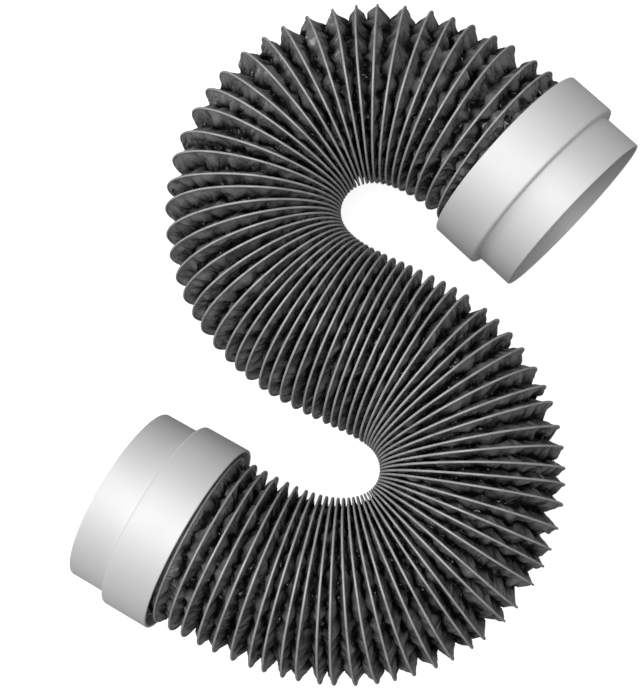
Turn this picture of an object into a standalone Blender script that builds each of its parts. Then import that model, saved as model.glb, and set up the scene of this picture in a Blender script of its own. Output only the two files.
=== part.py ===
"""Flexible dryer vent hose, lying in an S.

A pleated film sleeve hangs between the turns of a spring-wire helix, and each end of it is
seated in a stepped collar. Metres, +Z up, the floor at z = 0 and the middle of the footprint
at x = y = 0. The hose runs from the right collar to the left collar.
"""
import math

import bmesh
import bpy
import numpy as np

# Gap left between pieces that touch
SEAT_GAP = 0.0003

# Section of the hose
HOSE_RADIUS = 0.052
WIRE_DIAMETER = 0.001
PLEAT_DEPTH = 0.009
FILM_WALL = 0.0012
HOSE_FACETS = 12
WIRE_FACETS = 3

# Stepped collars: the wide sleeve takes the hose, the spigot goes into a duct
COLLAR_WALL = 0.0016
SLEEVE_CLEARANCE = 0.0036
SLEEVE_LENGTH = 0.0286
SPIGOT_RADIUS = 0.0524
SPIGOT_LENGTH = 0.0238
SHOULDER_ROUND = 0.0022
LIP_ROUND = 0.0005
CUFF_LENGTH = 0.008
COLLAR_FACETS = 36

# Pitch of the wire where the hose is pushed together most, and along the path as
# (share of the path, times that pitch)
CLOSEST_PITCH = 0.0054
PITCH_SHARES = (
    (0.0, 1.95), (0.14, 1.62), (0.32, 1.60), (0.44, 1.02), (0.52, 1.02), (0.60, 1.20), (0.8, 1.28),
    (1.0, 1.33),
)

# Line of the S. BEND_HEART is the radius left open inside the tightest bend. Along the path,
# (distance in tightest-bend radii, curvature as a share of the tightest, left turns positive).
BEND_HEART = 0.0147
BEND_SHARES = (
    (0.0, 0.09), (0.80, 0.72), (1.56, 0.96), (2.51, 0.97), (3.51, 0.93), (4.06, 0.70),
    (5.06, -0.49), (5.12, -0.92), (6.12, -1.0), (7.10, -1.0), (8.16, -0.60), (9.135, 0.03),
)
START_ANGLE = math.radians(136.1)
PATH_STEPS = 2400

# In the lower bend the coils lean back about their middles: (share of the path, slope)
LEAN_SHARES = ((0.0, 0.0), (0.5, 0.0), (0.6, -0.08), (0.87, -0.08), (0.97, 0.0), (1.0, 0.0))

# Where the film is divided into lengths, as shares of the path
FILM_CUT_SHARES = (0.17, 0.33, 0.5, 0.67, 0.83)

# Worked out from the above
TIGHTEST_BEND = HOSE_RADIUS + BEND_HEART
PATH_LENGTH = BEND_SHARES[-1][0] * TIGHTEST_BEND
WIRE_RADIUS = WIRE_DIAMETER / 2
WIRE_LINE = HOSE_RADIUS - WIRE_RADIUS
FILM_CREST = WIRE_LINE - WIRE_RADIUS * math.cos(math.pi / WIRE_FACETS) - SEAT_GAP
SLEEVE_BORE = HOSE_RADIUS + SLEEVE_CLEARANCE
SLEEVE_RADIUS = SLEEVE_BORE + COLLAR_WALL
CUFF_RADIUS = SLEEVE_BORE * math.cos(math.pi / COLLAR_FACETS) - SEAT_GAP
SEAT_DEPTH = SLEEVE_LENGTH - COLLAR_WALL - SEAT_GAP
COLLAR_LENGTH = SLEEVE_LENGTH + SPIGOT_LENGTH
RISE_LENGTH = 2 * SLEEVE_LENGTH


def smooth_step(value):
    """0 to 1 with level ends as value goes from 0 to 1."""
    t = np.clip(value, 0, 1)
    return t * t * (3 - 2 * t)


def s_path():
    """Distances, headings and middle points of the hose between the two sleeves' rims."""
    along, share = np.array(BEND_SHARES).T
    s = np.linspace(0, PATH_LENGTH, PATH_STEPS)
    curvature = np.interp(s / TIGHTEST_BEND, along, share) / TIGHTEST_BEND
    step = np.diff(s)
    turned = np.cumsum((curvature[1:] + curvature[:-1]) / 2 * step)
    heading = START_ANGLE + np.append(0, turned)
    run = np.exp(1j * heading)
    point = np.append(0, np.cumsum((run[1:] + run[:-1]) / 2 * step))
    return s, heading, point


PATH_S, PATH_HEADING, PATH_POINT = s_path()


def stand_height(s):
    """The hose lies on its coils, and near each end it rises to the sleeve's middle."""
    from_rim = np.minimum(s, PATH_LENGTH - s)
    lift = 1 - smooth_step(from_rim / RISE_LENGTH)
    return HOSE_RADIUS + (SLEEVE_RADIUS - HOSE_RADIUS) * lift


def middle_line(s):
    """Middle point and forward and sideways directions at s; straight beyond both rims."""
    s = np.asarray(s, float)
    heading = np.interp(s, PATH_S, PATH_HEADING)
    point = np.interp(s, PATH_S, PATH_POINT.real) + 1j * np.interp(s, PATH_S, PATH_POINT.imag)
    beyond = s - np.clip(s, 0, PATH_LENGTH)
    point = point + beyond * np.exp(1j * heading)
    flat = np.zeros_like(s)
    middle = np.stack([point.real, point.imag, stand_height(s)], -1)
    forward = np.stack([np.cos(heading), np.sin(heading), flat], -1)
    sideways = np.stack([-np.sin(heading), np.cos(heading), flat], -1)
    return middle, forward, sideways


def on_hose(s, angle, radius, ahead=0.0):
    """Points at an angle and a radius around the middle line, moved ahead along it and by
    the coils' lean there."""
    middle, forward, sideways = middle_line(s)
    lean = np.interp(np.asarray(s) / PATH_LENGTH, *np.array(LEAN_SHARES).T)
    ahead = ahead + lean * radius * np.sin(angle)
    angle, radius, ahead = (np.asarray(v, float)[..., None] for v in (angle, radius, ahead))
    outward = np.cos(angle) * sideways + np.sin(angle) * np.array([0, 0, 1.0])
    return middle + radius * outward + ahead * forward


def pleat_line():
    """Distances and the turns counted along them, a whole number between the two cuffs."""
    inner_end = SEAT_DEPTH - CUFF_LENGTH
    s = np.linspace(-inner_end, PATH_LENGTH + inner_end, PATH_STEPS)
    share, times = np.array(PITCH_SHARES).T
    pitch = CLOSEST_PITCH * np.interp(s / PATH_LENGTH, share, times)
    turns = np.append(0, np.cumsum(np.diff(s) * 2 / (pitch[1:] + pitch[:-1])))
    return s, turns * round(turns[-1]) / turns[-1]


TURN_S, TURN_COUNT = pleat_line()
TURNS = round(TURN_COUNT[-1])


def turn_place(turn):
    """Distance along the hose at which the helix has made that many turns."""
    return np.interp(turn, TURN_COUNT, TURN_S)


def column_angle(column):
    """Angle of a column of facets, the first one at the bottom of the hose."""
    return -math.pi / 2 + 2 * math.pi * column / HOSE_FACETS


def column_turn(column, row):
    """Turns at a column and a half-pitch row; no vertex falls on an end of the pleats."""
    return row / 2 + (column + 0.5) / HOSE_FACETS


def new_material(name, colour, roughness, metallic):
    material = bpy.data.materials.new(name)
    material.use_nodes = True
    shader = material.node_tree.nodes["Principled BSDF"]
    shader.inputs["Base Color"].default_value = (*colour, 1.0)
    shader.inputs["Roughness"].default_value = roughness
    shader.inputs["Metallic"].default_value = metallic
    return material


def new_object(name, points, faces, material, sharp_degrees):
    """One closed mesh with its faces turned outward."""
    mesh = bpy.data.meshes.new(name)
    mesh.from_pydata([tuple(p) for p in points], [], faces)
    build = bmesh.new()
    build.from_mesh(mesh)
    bmesh.ops.recalc_face_normals(build, faces=build.faces)
    bmesh.ops.triangulate(build, faces=build.faces)
    build.to_mesh(mesh)
    build.free()
    mesh.shade_smooth()
    mesh.set_sharp_from_angle(angle=math.radians(sharp_degrees))
    mesh.materials.append(material)
    piece = bpy.data.objects.new(name, mesh)
    bpy.context.collection.objects.link(piece)
    return piece


def film_skin(inset, first, last):
    """One side of a length of film: its points, its faces and the vertex ring at each end.

    Rows run along the helix, a crest and a valley in turn. Where a row would pass an end of
    the length, its vertices fall together on that end's ring. At a collar the ring is the
    edge of the cuff, and between two lengths it lies on the crests' radius.
    """
    columns = np.arange(HOSE_FACETS)
    angles = column_angle(columns)
    points, rings, faces = [], [], []
    for turn, cuff_turn, cuff_s, inward in (
            (first, 0, -SEAT_DEPTH, 1), (last, TURNS, PATH_LENGTH + SEAT_DEPTH, -1)):
        place = turn_place(turn)
        if turn == cuff_turn:
            spots = [(place, CUFF_RADIUS), (cuff_s, CUFF_RADIUS)]
        else:
            spots = [(place + inward * SEAT_GAP / 2, FILM_CREST)]
        ring = []
        for spot, radius in spots:
            ring.append(len(points) + columns)
            points += [*on_hose(np.full(HOSE_FACETS, spot), angles, radius - inset)]
        rings.append((ring[0], ring[-1]))

    index = {}
    for column in range(HOSE_FACETS):
        for row in range(2 * first - 4, 2 * last + 4):
            turn = column_turn(column, row)
            if turn <= first:
                index[column, row] = rings[0][0][column]
            elif turn >= last:
                index[column, row] = rings[1][0][column]
            else:
                depth = PLEAT_DEPTH * min(1, 2 * min(turn - first, last - turn)) * (row % 2)
                index[column, row] = len(points)
                points.append(on_hose(turn_place(turn), angles[column], FILM_CREST - depth - inset))

    for column in range(HOSE_FACETS):
        following = (column + 1) % HOSE_FACETS
        lap = 2 if following == 0 else 0
        for row in range(2 * first - 4, 2 * last + 1):
            faces.append([index[column, row], index[following, row + lap],
                          index[following, row + 1 + lap], index[column, row + 1]])
        for edge, rim in rings:
            faces.append([edge[column], edge[following], rim[following], rim[column]])
    clean = []
    for face in faces:
        corners = list(dict.fromkeys(int(corner) for corner in face))
        if len(corners) > 2:
            clean.append(corners)
    return points, clean, [rim for edge, rim in rings]


def make_film():
    """Laminated film, drawn in between the wire's turns, with a plain cuff at each end. It is
    one sleeve, made as lengths that end on whole turns, so that no length bends far."""
    cuts = np.interp(np.array(FILM_CUT_SHARES) * PATH_LENGTH, TURN_S, TURN_COUNT).round().astype(int)
    ends = [0, *(int(cut) for cut in cuts), TURNS]
    colour = new_material("film_black", (0.012, 0.012, 0.013), 0.32, 0.0)
    lengths = []
    for number, (first, last) in enumerate(zip(ends, ends[1:]), 1):
        outer, outer_faces, outer_rims = film_skin(0, first, last)
        inner, inner_faces, inner_rims = film_skin(FILM_WALL, first, last)
        first_inner = len(outer)
        faces = outer_faces + [[first_inner + corner for corner in face] for face in inner_faces]
        for outer_rim, inner_rim in zip(outer_rims, inner_rims):
            for column in range(HOSE_FACETS):
                following = (column + 1) % HOSE_FACETS
                faces.append([int(outer_rim[column]), int(outer_rim[following]),
                              int(first_inner + inner_rim[following]),
                              int(first_inner + inner_rim[column])])
        lengths.append(new_object(f"film_sleeve_{number}", outer + inner, faces, colour, 20))
    return lengths


def make_wire():
    """Spring wire along the crests, half a turn short of each cuff."""
    counts = [k for k in range(HOSE_FACETS * TURNS)
              if 0.5 <= column_turn(k, 0) <= TURNS - 0.5]
    points = []
    for k in counts:
        place = turn_place(column_turn(k, 0))
        for corner in range(WIRE_FACETS):
            around = 2 * math.pi * corner / WIRE_FACETS
            radius = WIRE_LINE + WIRE_RADIUS * math.cos(around)
            points.append(on_hose(place, column_angle(k), radius, WIRE_RADIUS * math.sin(around)))
    faces = [list(range(WIRE_FACETS)), list(range(len(points) - WIRE_FACETS, len(points)))]
    for section in range(len(counts) - 1):
        for corner in range(WIRE_FACETS):
            here = section * WIRE_FACETS
            beside = (corner + 1) % WIRE_FACETS
            ahead = here + WIRE_FACETS
            faces.append([here + corner, here + beside, ahead + beside, ahead + corner])
    steel = new_material("wire_steel", (0.42, 0.42, 0.43), 0.35, 1.0)
    return new_object("wire_helix", points, faces, steel, 70)


def collar_section():
    """Closed section of a collar as (distance from the sleeve's rim, radius)."""
    centre, level = SLEEVE_LENGTH - SHOULDER_ROUND, SLEEVE_RADIUS - SHOULDER_ROUND
    shoulder = [(centre + SHOULDER_ROUND * math.sin(a), level + SHOULDER_ROUND * math.cos(a))
                for a in np.linspace(0, math.pi / 2, 4)]
    return [
        (0, SLEEVE_RADIUS - LIP_ROUND),
        (LIP_ROUND, SLEEVE_RADIUS),
        *shoulder,
        (SLEEVE_LENGTH, SPIGOT_RADIUS),
        (COLLAR_LENGTH - LIP_ROUND, SPIGOT_RADIUS),
        (COLLAR_LENGTH, SPIGOT_RADIUS - LIP_ROUND),
        (COLLAR_LENGTH, SPIGOT_RADIUS - COLLAR_WALL),
        (SLEEVE_LENGTH - COLLAR_WALL, SPIGOT_RADIUS - COLLAR_WALL),
        (SLEEVE_LENGTH - COLLAR_WALL, SLEEVE_BORE),
        (0, SLEEVE_BORE),
    ]


def make_collar(name, rim_s, outward):
    """Stepped collar turned about the hose's line at rim_s; outward is -1 or 1 along it."""
    section = collar_section()
    points = []
    for distance, radius in section:
        for facet in range(COLLAR_FACETS):
            angle = math.pi / 2 + 2 * math.pi * facet / COLLAR_FACETS
            points.append(on_hose(rim_s, angle, radius, outward * distance))
    faces = []
    for ring in range(len(section)):
        here, ahead = ring * COLLAR_FACETS, (ring + 1) % len(section) * COLLAR_FACETS
        for facet in range(COLLAR_FACETS):
            beside = (facet + 1) % COLLAR_FACETS
            faces.append([here + facet, here + beside, ahead + beside, ahead + facet])
    return new_object(name, points, faces, COLLAR_METAL, 30)


def centre_footprint(pieces):
    """Moves all pieces together so that the middle of their footprint is at x = y = 0."""
    spots = np.concatenate([[v.co[:] for v in piece.data.vertices] for piece in pieces])
    middle = (spots.min(0) + spots.max(0)) / 2
    for piece in pieces:
        for vertex in piece.data.vertices:
            vertex.co.x -= middle[0]
            vertex.co.y -= middle[1]
        piece.data.update()


for leftover in list(bpy.data.objects):
    bpy.data.objects.remove(leftover)
COLLAR_METAL = new_material("collar_metal", (0.62, 0.62, 0.63), 0.38, 1.0)
centre_footprint([
    *make_film(),
    make_wire(),
    make_collar("collar_right", 0.0, -1),
    make_collar("collar_left", PATH_LENGTH, 1),
])
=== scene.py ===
"""Dryer vent hose: pleated black film on a spring-wire helix, with a stepped collar on each end."""

import math

import bpy
import numpy as np
from mathutils import Matrix, Vector


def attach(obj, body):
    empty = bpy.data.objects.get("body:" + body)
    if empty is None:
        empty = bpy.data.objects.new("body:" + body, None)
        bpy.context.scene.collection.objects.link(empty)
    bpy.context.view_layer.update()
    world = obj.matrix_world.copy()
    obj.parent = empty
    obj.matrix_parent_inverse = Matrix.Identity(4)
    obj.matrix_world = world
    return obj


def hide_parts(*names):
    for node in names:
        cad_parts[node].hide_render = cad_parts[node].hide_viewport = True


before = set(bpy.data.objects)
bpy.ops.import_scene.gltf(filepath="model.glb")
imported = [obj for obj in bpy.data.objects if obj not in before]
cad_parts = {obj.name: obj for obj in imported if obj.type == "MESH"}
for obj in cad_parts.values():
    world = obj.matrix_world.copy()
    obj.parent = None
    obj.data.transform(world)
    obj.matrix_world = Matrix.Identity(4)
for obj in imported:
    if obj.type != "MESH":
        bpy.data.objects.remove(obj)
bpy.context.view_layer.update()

# ---------------------------------------------------------------- Camera
# It looks down on the hose from above its lower right, with the S upright in the picture.
CAMERA_PLACE = Vector((0.0553, -0.0833, 0.7084))
CAMERA_TARGET = Vector((-0.0215, -0.0045, 0.05))
CAMERA_ROLL = -0.0111
FOCUS_PIXELS = 1145.4
PICTURE_WIDTH = 640
SENSOR_WIDTH = 36

lens = bpy.data.cameras.new("camera")
lens.sensor_fit = "HORIZONTAL"
lens.sensor_width = SENSOR_WIDTH
lens.lens = SENSOR_WIDTH * FOCUS_PIXELS / PICTURE_WIDTH
lens.clip_start, lens.clip_end = 0.01, 20
camera = bpy.data.objects.new("camera", lens)
bpy.context.collection.objects.link(camera)
look = (CAMERA_TARGET - CAMERA_PLACE).normalized()
right = look.cross(Vector((math.sin(CAMERA_ROLL), math.cos(CAMERA_ROLL), 0))).normalized()
turned = Matrix((right, right.cross(look), -look)).transposed()
camera.matrix_world = Matrix.Translation(CAMERA_PLACE) @ turned.to_4x4()
bpy.context.scene.camera = camera

# ---------------------------------------------------------------- Light and floor
# A plain studio: a large softbox nearly straight overhead, a narrow one low on the upper left
# that picks out edges, an even fill all round, and a pale matt light table as the floor, so that
# shadows stay faint. The table's glow isn't let onto the object.
SOFTBOXES = (
    ("overhead", Vector((-0.06, -0.05, 1.25)), (0.9, 0.9), 15.1),
    ("edge", Vector((-1.1, 0.35, 0.65)), (0.3, 0.9), 6.5),
)
SOFTBOX_AIM = Vector((0.0, 0.0, 0.05))
FILL = 0.27
FLOOR_SIDE = 8.0
FLOOR_GREY = 0.35
FLOOR_SHEEN = 0.1
FLOOR_GLOW = 0.87

for name, place, sides, watts in SOFTBOXES:
    light = bpy.data.lights.new(name, "AREA")
    light.shape = "RECTANGLE"
    light.size, light.size_y = sides
    light.energy = watts
    lamp = bpy.data.objects.new(name, light)
    lamp.location = place
    lamp.rotation_euler = (SOFTBOX_AIM - place).to_track_quat("-Z", "Y").to_euler()
    bpy.context.collection.objects.link(lamp)

world = bpy.data.worlds.new("studio")
world.use_nodes = True
background = world.node_tree.nodes["Background"]
background.inputs["Color"].default_value = (1, 1, 1, 1)
background.inputs["Strength"].default_value = FILL
bpy.context.scene.world = world
bpy.context.scene.view_settings.view_transform = "Standard"


def start_material(name, grey, roughness, metallic=0.0):
    """A grey material with its Principled shader set; returns it, its nodes, links and shader."""
    material = bpy.data.materials.new(name)
    material.use_nodes = True
    nodes, links = material.node_tree.nodes, material.node_tree.links
    shader = nodes["Principled BSDF"]
    shader.inputs["Base Color"].default_value = (grey, grey, grey, 1)
    shader.inputs["Roughness"].default_value = roughness
    shader.inputs["Metallic"].default_value = metallic
    return material, nodes, links, shader


def add_node(nodes, kind, **settings):
    """A shader node with its sockets (by name) and its own properties set."""
    node = nodes.new(kind)
    for name, value in settings.items():
        socket = name.replace("_", " ")
        if socket in node.inputs:
            node.inputs[socket].default_value = value
        else:
            setattr(node, name, value)
    return node


def join_nodes(links, *joints):
    """Links shader nodes; each joint is a node, its output, the next node and its input."""
    for source, output, target, socket in joints:
        links.new(source.outputs[output], target.inputs[socket])


def link_object(mesh, material, slot=None, nodes=()):
    """Links a finished mesh as a piece in its material; if a slot is given, the piece rides on the
    object.
    """
    mesh.materials.append(material)
    piece = bpy.data.objects.new(mesh.name, mesh)
    bpy.context.collection.objects.link(piece)
    if slot:
        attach(piece, "root")
    if nodes:
        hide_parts(*nodes)
    return piece


half = FLOOR_SIDE / 2
floor_mesh = bpy.data.meshes.new("floor")
floor_mesh.from_pydata(
    [(-half, -half, 0), (half, -half, 0), (half, half, 0), (-half, half, 0)], [], [(0, 1, 2, 3)])
floor_paint, nodes, links, shader = start_material("floor_paint", FLOOR_GREY, 0.7)
shader.inputs["Specular IOR Level"].default_value = FLOOR_SHEEN
shader.inputs["Emission Color"].default_value = (1, 1, 1, 1)
shader.inputs["Emission Strength"].default_value = FLOOR_GLOW
floor = link_object(floor_mesh, floor_paint)
floor.visible_diffuse = floor.visible_glossy = False

# ---------------------------------------------------------------- Pleated film
# The hose is a tube of thin black laminated film, pleated so that a spring wire lies in every
# crest. It lies in an S on its coils, and each end is drawn into a collar's wide sleeve.
HOSE_RADIUS = 0.052
FILM_CREST = 0.0511
PLEAT_DEPTH = 0.0104
FILM_THICKNESS = 0.0008
SLEEVE_LENGTH = 0.0286
SLEEVE_RADIUS = 0.0572
SEAT_DEPTH = 0.0267
CUFF_LENGTH = 0.008
MOUTH_RADIUS = 0.0543
MOUTH_INSIDE = 0.005
MOUTH_RUN = 0.006
CLOSEST_PITCH = 0.0054
PITCHES = (  # each a share of the hose's length, and the pitch there in closest pitches
    (0.0, 1.95), (0.14, 1.62), (0.32, 1.60), (0.44, 1.02), (0.52, 1.02), (0.60, 1.20), (0.8, 1.26),
    (0.89, 1.24), (0.94, 1.46), (1.0, 1.5),
)
TIGHTEST_BEND = 0.0667
BENDS = (  # each a distance in tightest bend radii, and the bend there as a share of the tightest
    (0.0, 0.09), (0.80, 0.72), (1.56, 0.96), (2.51, 0.97), (3.51, 0.93), (4.06, 0.70),
    (5.06, -0.49), (5.12, -0.92), (6.12, -1.0), (7.10, -1.0), (8.16, -0.60), (9.135, 0.03),
)
START_ANGLE = math.radians(136.1)
START_POINT = 0.08554 + 0.10432j
PATH_STEPS = 2400
FIRST_COIL_ANGLE = -math.pi / 2 - math.pi / 12
LEAN = (  # each a share of the hose's length, and how far a coil leans there for its height
    (0.0, 0.0), (0.5, 0.0), (0.6, -0.08), (0.74, -0.08), (0.84, -0.05), (0.96, -0.05), (1.0, 0.0),
)
NOISE_CELLS = 256
NOISE_GAIN = 1.5
COIL_SWAY = 0.0020
SWAY_PITCH = 1.7 * CLOSEST_PITCH
DEPTH_CHANGE, DEPTH_CHANGE_SIZE = 0.2, 0.015
RIM_SHALLOWING, RIM_SHALLOW_REACH = 0.55, 0.012
LEAST_DEPTH, FULL_DEPTH_ROOM = 0.25, 0.006
VALLEY_POWER = 1.15
WANDER, WANDER_SIZE = 0.3, 0.013
SMALL_WANDER, SMALL_WANDER_SIZE = 0.3, 0.006
FOLD_SIZE = 0.010
FOLD_DEPTH = 0.0036
FOLD_ROOM = 0.3
FOLD_BULGE = 0.35
RIM_SLACK, RIM_SLACK_REACH = 0.5, 0.02
FILM_ACROSS = 0.02
LENGTH_COUNT = 5
AROUND = 232
ACROSS = 16
FILM_NODES = [f"film_sleeve_{number}" for number in range(1, 7)]
FILM_SHARP_ANGLE = math.radians(50)
# Painted shade: greys of the film's base colour, from black in the valleys to grey near the crests.
FILM_VALLEY_SHADE = ((0.15, 0.003), (0.65, 0.115))


def hose_path():
    """Distances, headings, bends and middle points along the S: the bends' curvature is added
    up into a heading, and steps taken along the heading are added up into places."""
    along, share = np.array(BENDS).T
    s = np.linspace(0, along[-1] * TIGHTEST_BEND, PATH_STEPS)
    bend = np.interp(s / TIGHTEST_BEND, along, share) / TIGHTEST_BEND
    step = np.diff(s)
    heading = START_ANGLE + np.append(0, np.cumsum((bend[1:] + bend[:-1]) / 2 * step))
    run = np.exp(1j * heading)
    point = START_POINT + np.append(0, np.cumsum((run[1:] + run[:-1]) / 2 * step))
    return s, heading, bend, point


PATH_S, PATH_HEADING, PATH_BEND, PATH_POINT = hose_path()
PATH_LENGTH = PATH_S[-1]


def smooth_step(value):
    """0 to 1 with level ends as the value goes from 0 to 1."""
    t = np.clip(value, 0, 1)
    return t * t * (3 - 2 * t)


def on_hose(s, angle, radius, ahead=0.0):
    """Points at distance s, turned by an angle about the middle line and a radius out from it.
    The middle rises in an S-curve from the coils' radius to the sleeve's near each end, and
    the lean moves the top of a coil ahead and its bottom back by the same amount."""
    heading = np.interp(s, PATH_S, PATH_HEADING)
    point = np.interp(s, PATH_S, PATH_POINT.real) + 1j * np.interp(s, PATH_S, PATH_POINT.imag)
    run = np.exp(1j * heading)
    lean = np.interp(s / PATH_LENGTH, *np.array(LEAN).T) * radius * np.sin(angle)
    beyond = s - np.clip(s, 0, PATH_LENGTH)
    point = point + (beyond + ahead + lean + radius * np.cos(angle) * 1j) * run
    lift = 1 - smooth_step(np.minimum(s, PATH_LENGTH - s) / (2 * SLEEVE_LENGTH))
    height = HOSE_RADIUS + (SLEEVE_RADIUS - HOSE_RADIUS) * lift
    return np.stack([point.real, point.imag, height + radius * np.sin(angle)], -1)


def count_turns():
    """Distances and the wire's turns up to them: one over the pitch, added up along the hose
    and stretched to a whole number between the cuffs."""
    inner_end = SEAT_DEPTH - CUFF_LENGTH
    s = np.linspace(-inner_end, PATH_LENGTH + inner_end, PATH_STEPS)
    share, times = np.array(PITCHES).T
    pitch = CLOSEST_PITCH * np.interp(s / PATH_LENGTH, share, times)
    turns = np.append(0, np.cumsum(np.diff(s) * 2 / (pitch[1:] + pitch[:-1])))
    return s, turns * round(turns[-1]) / turns[-1]


TURN_S, TURN_COUNT = count_turns()
TURNS = round(TURN_COUNT[-1])


def soft_noise(x, y, seed):
    """Smooth noise from -1 to 1 over the plane: random slopes at whole numbers, blended
    between them with a smooth step."""
    table = np.random.default_rng(seed).uniform(0, 2 * math.pi, (NOISE_CELLS, NOISE_CELLS))
    column, row = np.floor(x).astype(int), np.floor(y).astype(int)
    x, y = x - column, y - row

    def slope(dx, dy):
        angle = table[(column + dx) % NOISE_CELLS, (row + dy) % NOISE_CELLS]
        return np.cos(angle) * (x - dx) + np.sin(angle) * (y - dy)

    u, v = (t * t * t * (t * (t * 6 - 15) + 10) for t in (x, y))
    low = slope(0, 0) * (1 - u) + slope(1, 0) * u
    high = slope(0, 1) * (1 - u) + slope(1, 1) * u
    return (low * (1 - v) + high * v) * NOISE_GAIN


def coil_angle(turn):
    """Where a point of the wire lies about the middle line."""
    return FIRST_COIL_ANGLE + 2 * math.pi * turn


def coil_room(turn):
    """Room along the hose between this coil and the next, less inside a bend than outside."""
    here, following = (np.interp(turn + step, TURN_COUNT, TURN_S) for step in (0, 1))
    bend = np.interp(here, PATH_S, PATH_BEND)
    return (following - here) * np.clip(1 - bend * HOSE_RADIUS * np.cos(coil_angle(turn)), 0.1, 3)


def coil_ahead(turn):
    """How far a coil stands ahead of its even place: it sways slowly along the wire, less where
    it has little room, so that coils stand closer and farther apart."""
    sway = soft_noise(turn * 0.83, turn * 0 + 0.4, 3) + 0.35 * soft_noise(turn * 2.9, turn * 0, 4)
    return COIL_SWAY * sway * np.clip(coil_room(turn) / SWAY_PITCH, 0, 1.2) ** 2


def folds(x, y):
    """Folds of slack film from about -1 to 1: smooth noise and its size, both bent by slower
    noise, make soft swellings that meet in a few creases, with smaller ones laid over them."""
    bent = 0.8 * soft_noise(x * 0.4, y * 0.4, 11)
    x, y = x + bent, y - bent
    large = soft_noise(x, y * 0.8, 8)
    creased = np.abs(soft_noise(x * 0.8 + 9, y * 0.9 + 17.3, 12)) * 3 - 0.8
    small = np.abs(soft_noise(x * 2.1 + 4, y * 1.6 + 60.7, 9)) * 3 - 0.8
    return np.clip(0.8 * large + 0.5 * creased + 0.18 * small, -1, 1)


def mouth_share(s):
    """1 well inside a collar, where the film has opened out to its mouth, and 0 along the open
    hose, with a smooth step between them that runs through the collar's rim."""
    from_rim = np.minimum(s, PATH_LENGTH - s)
    return 1 - smooth_step((from_rim + MOUTH_INSIDE) / MOUTH_RUN)


def pleat(turn, share, inset):
    """Points of the film between one crest (share 0) and the next (share 1) at the same angle.
    The valley is a V, drawn in by the pleat's depth, and its line wanders. Slack film is
    pushed along the hose by a share of the room between the coils, none of it at the crests.
    Pleats are shallow beside a collar and where coils crowd, and inside the collar's rim the
    film opens out to its mouth."""
    angle = coil_angle(turn)
    s = np.interp(turn + share, TURN_COUNT, TURN_S)
    from_rim = np.minimum(s, PATH_LENGTH - s)
    room = coil_room(turn)
    arc = 2 * math.pi * HOSE_RADIUS * turn
    mouth = mouth_share(s)
    slack = np.sin(math.pi * share)
    change = DEPTH_CHANGE * soft_noise(arc / DEPTH_CHANGE_SIZE, turn * 0 + 3.5, 6)
    near_rim = RIM_SHALLOWING * np.exp(-(from_rim / RIM_SHALLOW_REACH) ** 2)
    crowding = np.clip(LEAST_DEPTH + (1 - LEAST_DEPTH) * room / FULL_DEPTH_ROOM, 0, 1)
    depth = PLEAT_DEPTH * (1 + change) * (1 - near_rim) * crowding
    wander = (soft_noise(arc / WANDER_SIZE, turn * 0 + 7.5, 5)
              + SMALL_WANDER * soft_noise(arc / SMALL_WANDER_SIZE, share * 2, 7))
    centred = 2 * share - 1 + WANDER * wander * slack ** 2
    radius = FILM_CREST - depth * (1 - np.clip(np.abs(centred), 0, 1)) ** VALLEY_POWER
    fold = folds(arc / FOLD_SIZE, share * FILM_ACROSS / FOLD_SIZE)
    push = np.minimum(FOLD_ROOM * room, FOLD_DEPTH) * slack * fold
    push = push * (1 - mouth) * (1 + RIM_SLACK * np.exp(-(from_rim / RIM_SLACK_REACH) ** 2))
    radius = radius + FOLD_BULGE * push
    radius = radius * (1 - mouth) + MOUTH_RADIUS * mouth
    ahead = coil_ahead(turn) * (1 - share) + coil_ahead(turn + 1) * share
    return on_hose(s, angle, radius - inset, ahead * (1 - mouth) + push)


def strip_index(rows, columns, around, first):
    """Numbers the vertices of a helical strip whose last column is the first column of the
    next turn; only the last turn has a last column of its own."""
    index = np.empty((rows, columns + 1), int)
    index[:, :columns] = first + np.arange(rows * columns).reshape(rows, columns)
    index[:rows - around, columns] = index[around:, 0]
    index[rows - around:, columns] = first + rows * columns + np.arange(around)
    return index


def quads(index):
    """Four-cornered faces between neighbouring rows and columns of vertex numbers."""
    return np.stack([index[:-1, :-1], index[1:, :-1], index[1:, 1:], index[:-1, 1:]], -1)


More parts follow.
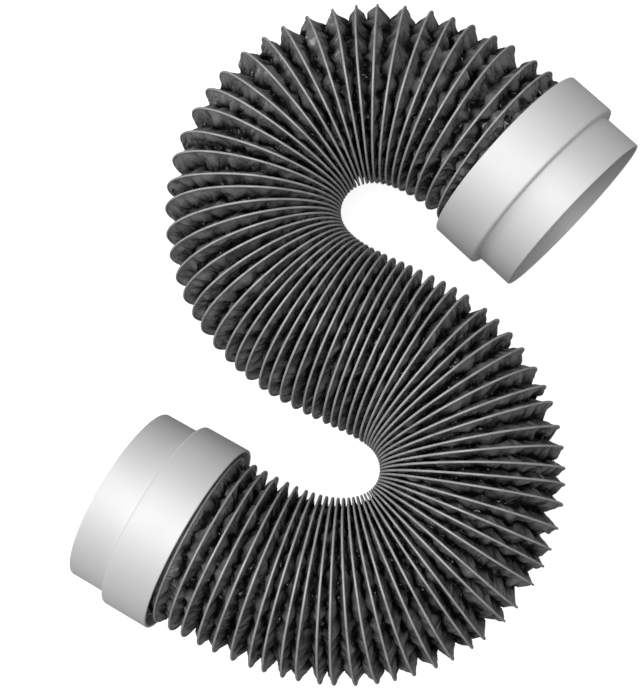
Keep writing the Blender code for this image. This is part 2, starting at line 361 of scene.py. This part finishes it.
def film_length(name, first, last):
    """One length of film between two whole turns, a closed wall with an outer and an inner
    side; the inner side has every second row and column of the outer one. Each point keeps its
    nearness to a crest, and its place on the same film unrolled onto a straight hose."""
    sides, crests, straights, indexes, start = [], [], [], [], 0
    for step, inset in ((1, 0.0), (2, FILM_THICKNESS)):
        around, columns = AROUND // step, ACROSS // step
        turn = np.arange(first * around, last * around + 1)[:, None] / around
        share = np.arange(columns + 1)[None, :] / columns
        turn, share = turn + 0 * share, share + 0 * turn
        rows = len(turn)
        points, crest, angle = pleat(turn, share, inset), np.abs(2 * share - 1), coil_angle(turn)
        straight = np.stack([HOSE_RADIUS * np.cos(angle), HOSE_RADIUS * np.sin(angle),
                             FILM_ACROSS * (turn + share)], -1)
        indexes.append(strip_index(rows, columns, around, start))
        for kept in ((slice(None), slice(0, columns)), (slice(rows - around, rows), columns)):
            sides.append(points[kept].reshape(-1, 3))
            crests.append(crest[kept].ravel())
            straights.append(straight[kept].ravel())
        start += rows * columns + around
    outer, inner = indexes
    faces = [quads(outer).reshape(-1, 4), quads(inner)[..., ::-1].reshape(-1, 4)]
    edges = []
    for o, i in ((outer[AROUND::-1, 0], inner[AROUND // 2::-1, 0]),
                 (outer[-AROUND - 1:, -1], inner[-AROUND // 2 - 1:, -1]),
                 (outer[0], inner[0]), (outer[-1, ::-1], inner[-1, ::-1])):
        edges.append(np.stack([o[:-2:2], o[1:-1:2], o[2::2], i[1:], i[:-1]], -1))
    mesh = bpy.data.meshes.new(name)
    mesh.from_pydata(np.concatenate(sides).tolist(), [],
                     np.concatenate(faces).tolist() + np.concatenate(edges).tolist())
    mesh.attributes.new("crest", "FLOAT", "POINT").data.foreach_set("value", np.concatenate(crests))
    mesh.attributes.new("straight", "FLOAT_VECTOR", "POINT").data.foreach_set(
        "vector", np.concatenate(straights))
    mesh.shade_smooth()
    mesh.set_sharp_from_angle(angle=FILM_SHARP_ANGLE)
    return mesh


def grey_ramp(nodes, stops):
    """A colour ramp of two greys; each stop is a place along the ramp and its grey."""
    ramp = add_node(nodes, "ShaderNodeValToRGB")
    for element, (position, grey) in zip(ramp.color_ramp.elements, stops):
        element.position, element.color = position, (grey, grey, grey, 1)
    return ramp


film_paint, nodes, links, shader = start_material("film_black", 0.05, 0.4)
# Painted shade in the pleats: the base colour is grey near the crests and falls to black in the
# valleys, in uneven blotches.
place = add_node(nodes, "ShaderNodeTexCoord")
crest = add_node(nodes, "ShaderNodeAttribute", attribute_name="crest")
shade_blotches = add_node(nodes, "ShaderNodeTexNoise", Scale=160.0, Detail=4.0, Roughness=0.6)
uneven = add_node(nodes, "ShaderNodeMath", operation="ADD")
uneven.inputs[1].default_value = -0.5
height = add_node(nodes, "ShaderNodeMath", operation="ADD")
valley_shade = grey_ramp(nodes, FILM_VALLEY_SHADE)
join_nodes(
    links, (place, "Object", shade_blotches, "Vector"), (shade_blotches, "Fac", uneven, 0),
    (crest, "Fac", height, 0), (uneven, "Value", height, 1), (height, "Value", valley_shade, "Fac"),
    (valley_shade, "Color", shader, "Base Color"),
)
# Glossier and duller patches.
patches = add_node(nodes, "ShaderNodeTexNoise", Scale=70.0, Detail=4.0)
dull = add_node(nodes, "ShaderNodeMapRange", From_Min=0.3, From_Max=0.7, To_Min=0.18, To_Max=0.34)
join_nodes(
    links, (place, "Object", patches, "Vector"), (patches, "Fac", dull, "Value"),
    (dull, "Result", shader, "Roughness"),
)
# Creases lie on the unrolled film, drawn out across the pleats and bent by noise.
unrolled = add_node(nodes, "ShaderNodeAttribute", attribute_name="straight")
drawn_out = add_node(nodes, "ShaderNodeMapping", Scale=(1.0, 1.0, 0.4))
bends = add_node(nodes, "ShaderNodeTexNoise", Scale=70.0, Detail=2.0)
bent = add_node(nodes, "ShaderNodeVectorMath", operation="MULTIPLY_ADD")
bent.inputs[1].default_value = (0.012, 0.012, 0.012)
creases = add_node(nodes, "ShaderNodeTexVoronoi", Scale=130.0, feature="F1")
crease_bump = add_node(nodes, "ShaderNodeBump", Strength=0.9, Distance=0.0028)
join_nodes(
    links, (unrolled, "Vector", drawn_out, "Vector"), (drawn_out, "Vector", bends, "Vector"),
    (bends, "Color", bent, 0), (drawn_out, "Vector", bent, 2), (bent, "Vector", creases, "Vector"),
    (creases, "Distance", crease_bump, "Height"),
)
# Fine wrinkles all over, and sharp crinkles in the most crumpled patches.
wrinkles = add_node(nodes, "ShaderNodeTexNoise", Scale=480.0, Detail=5.0, Roughness=0.6)
wrinkle_bump = add_node(nodes, "ShaderNodeBump", Strength=0.25, Distance=0.0006)
crinkles = add_node(nodes, "ShaderNodeTexVoronoi", Scale=230.0, feature="DISTANCE_TO_EDGE")
crumpled = add_node(nodes, "ShaderNodeMapRange", From_Min=0.52, From_Max=0.62)
crinkled = add_node(nodes, "ShaderNodeMath", operation="MULTIPLY")
crinkle_bump = add_node(nodes, "ShaderNodeBump", Strength=0.8, Distance=0.003)
join_nodes(
    links, (place, "Object", wrinkles, "Vector"), (wrinkles, "Fac", wrinkle_bump, "Height"),
    (crease_bump, "Normal", wrinkle_bump, "Normal"), (bent, "Vector", crinkles, "Vector"),
    (patches, "Fac", crumpled, "Value"), (crinkles, "Distance", crinkled, 0),
    (crumpled, "Result", crinkled, 1), (crinkled, "Value", crinkle_bump, "Height"),
    (wrinkle_bump, "Normal", crinkle_bump, "Normal"), (crinkle_bump, "Normal", shader, "Normal"),
)

ends = np.linspace(0, TURNS - 1, LENGTH_COUNT + 1).round().astype(int)
for number, (first, last) in enumerate(zip(ends, ends[1:]), 1):
    mesh = film_length(f"film_length_{number}", first, last)
    link_object(mesh, film_paint, "film_black", FILM_NODES)

# ---------------------------------------------------------------- Film cuffs
# Past its mouth at the collar's rim the film runs smooth inside the sleeve, and it ends in a
# plain cuff that is bonded in there.
CUFF_RADIUS = 0.0551
CUFF_FLARE = 0.003
CUFF_SIDES = 144
RING_SHARP_ANGLE = math.radians(40)


def turned_ring(name, rim_s, outward, section, sides):
    """A closed section of (distance out from the rim, radius) points, turned about the hose's
    line at the rim; radii become circles, and the last point joins the first."""
    distance, radius = np.array(section).T[..., None]
    angle = np.linspace(0, 2 * math.pi, sides, endpoint=False)[None, :]
    points = on_hose(np.full((len(section), sides), rim_s), angle, radius, outward * distance)
    index = np.arange(len(section) * sides).reshape(len(section), sides)
    index = np.pad(index, ((0, 1), (0, 1)), mode="wrap")
    faces = quads(index).reshape(-1, 4)
    mesh = bpy.data.meshes.new(name)
    mesh.from_pydata(points.reshape(-1, 3).tolist(), [],
                     (faces if outward > 0 else faces[:, ::-1]).tolist())
    mesh.shade_smooth()
    mesh.set_sharp_from_angle(angle=RING_SHARP_ANGLE)
    return mesh


cuff_start = SEAT_DEPTH - CUFF_LENGTH
cuff_side = np.array([
    (SEAT_DEPTH, CUFF_RADIUS), (cuff_start, CUFF_RADIUS), (cuff_start - CUFF_FLARE, MOUTH_RADIUS)])
cuff_section = [*cuff_side, *(cuff_side - (0, FILM_THICKNESS))[::-1]]
for side, rim_s, outward in (("right", 0.0, -1), ("left", PATH_LENGTH, 1)):
    mesh = turned_ring(f"film_cuff_{side}", rim_s, outward, cuff_section, CUFF_SIDES)
    link_object(mesh, film_paint, "film_black", FILM_NODES)

# ---------------------------------------------------------------- Spring wire
# One spring wire winds from cuff to cuff in the crests of the film, which is bonded over it, so
# that it shows as a bead. The bead's grey is a painted highlight: the sheen of the black film over
# the wire, streaked at random.
WIRE_LINE = 0.0513
WIRE_RADIUS = 0.0007
WIRE_STEPS = 96
WIRE_SIDES = 6
# Painted highlight: the bead's greys stand in for the sheen of the black film over the wire.
WIRE_BEAD_HIGHLIGHT = ((0.3, 0.25), (0.7, 0.36))


def wire_mesh(name):
    """A round section carried along the helix through the crests, closed by a face at each
    end; the section lies across the wire, in the outward and forward directions."""
    turn = np.arange(WIRE_STEPS // 2, (TURNS - 1) * WIRE_STEPS + WIRE_STEPS // 2)[:, None]
    turn = turn / WIRE_STEPS
    around = np.linspace(0, 2 * math.pi, WIRE_SIDES, endpoint=False)[None, :]
    s = np.interp(turn, TURN_COUNT, TURN_S)
    points = on_hose(s + 0 * around, coil_angle(turn), WIRE_LINE + WIRE_RADIUS * np.cos(around),
                     coil_ahead(turn) * (1 - mouth_share(s)) + WIRE_RADIUS * np.sin(around))
    index = np.arange(len(turn) * WIRE_SIDES).reshape(len(turn), WIRE_SIDES)
    faces = quads(np.pad(index, ((0, 0), (0, 1)), mode="wrap")).reshape(-1, 4).tolist()
    faces += [index[0].tolist(), index[-1][::-1].tolist()]
    mesh = bpy.data.meshes.new(name)
    mesh.from_pydata(points.reshape(-1, 3).tolist(), [], faces)
    mesh.shade_smooth()
    return mesh


wire_paint, nodes, links, shader = start_material("wire_steel", 0.2, 0.42, 0.15)
# Painted highlight: streaked greys for the sheen of the black film over the wire.
place = add_node(nodes, "ShaderNodeTexCoord")
streaks = add_node(nodes, "ShaderNodeTexNoise", Scale=140.0, Detail=3.0)
bead_highlight = grey_ramp(nodes, WIRE_BEAD_HIGHLIGHT)
join_nodes(
    links, (place, "Object", streaks, "Vector"), (streaks, "Fac", bead_highlight, "Fac"),
    (bead_highlight, "Color", shader, "Base Color"),
)
link_object(wire_mesh("wire_coils"), wire_paint, "wire_steel", ["wire_helix"])

# ---------------------------------------------------------------- Collars
# A collar is one piece in satin silver-grey: a wide sleeve over the hose's end, a rounded
# shoulder, and a narrower spigot with a small turned lip around its mouth.
COLLAR_WALL = 0.0016
SPIGOT_RADIUS = 0.0524
SPIGOT_LENGTH = 0.0238
SHOULDER_ROUND = 0.0018
SHOULDER_INNER_ROUND = 0.0015
STEP_ROUND = 0.0006
STEP_INNER_ROUND = 0.0005
LIP_ROUND = 0.0007
ROUND_POINTS = 6
COLLAR_SIDES = 180
COLLAR_GREY = 0.62


def rounded(section):
    """Rounds each corner of a closed section: (distance, radius, rounding) becomes a row of
    points on a parabola that leaves one straight side and meets the next tangentially."""
    points = np.array([corner[:2] for corner in section])
    size = np.array([corner[2] for corner in section])[:, None]
    before, after = (np.roll(points, k, 0) - points for k in (1, -1))
    before, after = (side / np.linalg.norm(side, axis=1)[:, None] for side in (before, after))
    t = np.linspace(0, 1, ROUND_POINTS)[None, :, None]
    a, b = (points + size * before)[:, None], (points + size * after)[:, None]
    return ((1 - t) ** 2 * a + 2 * t * (1 - t) * points[:, None] + t ** 2 * b).reshape(-1, 2)


collar_length = SLEEVE_LENGTH + SPIGOT_LENGTH
shoulder_inside = SLEEVE_LENGTH - COLLAR_WALL
sleeve_bore = SLEEVE_RADIUS - COLLAR_WALL
spigot_bore = SPIGOT_RADIUS - COLLAR_WALL
# Reversed, the section runs round the same way as a cuff's, so that faces point outwards.
collar_section = rounded([
    (0, SLEEVE_RADIUS, LIP_ROUND), (SLEEVE_LENGTH, SLEEVE_RADIUS, SHOULDER_ROUND),
    (SLEEVE_LENGTH, SPIGOT_RADIUS, STEP_ROUND), (collar_length, SPIGOT_RADIUS, LIP_ROUND),
    (collar_length, spigot_bore, LIP_ROUND), (shoulder_inside, spigot_bore, STEP_INNER_ROUND),
    (shoulder_inside, sleeve_bore, SHOULDER_INNER_ROUND), (0, sleeve_bore, LIP_ROUND),
])[::-1]
collar_paint, nodes, links, shader = start_material("collar_metal", COLLAR_GREY, 0.72, 0.5)
place = add_node(nodes, "ShaderNodeTexCoord")
clouds = add_node(nodes, "ShaderNodeTexNoise", Scale=22.0, Detail=5.0)
grain = add_node(nodes, "ShaderNodeTexNoise", Scale=1500.0, Detail=2.0)
dull = add_node(nodes, "ShaderNodeMapRange", From_Min=0.3, From_Max=0.7, To_Min=0.67, To_Max=0.76)
grain_bump = add_node(nodes, "ShaderNodeBump", Strength=0.08, Distance=0.0002)
join_nodes(
    links, (place, "Object", clouds, "Vector"), (place, "Object", grain, "Vector"),
    (clouds, "Fac", dull, "Value"), (dull, "Result", shader, "Roughness"),
    (grain, "Fac", grain_bump, "Height"), (grain_bump, "Normal", shader, "Normal"),
)

for side, rim_s, outward in (("right", 0.0, -1), ("left", PATH_LENGTH, 1)):
    mesh = turned_ring(f"collar_shell_{side}", rim_s, outward, collar_section, COLLAR_SIDES)
    link_object(mesh, collar_paint, "collar_metal", [f"collar_{side}"])
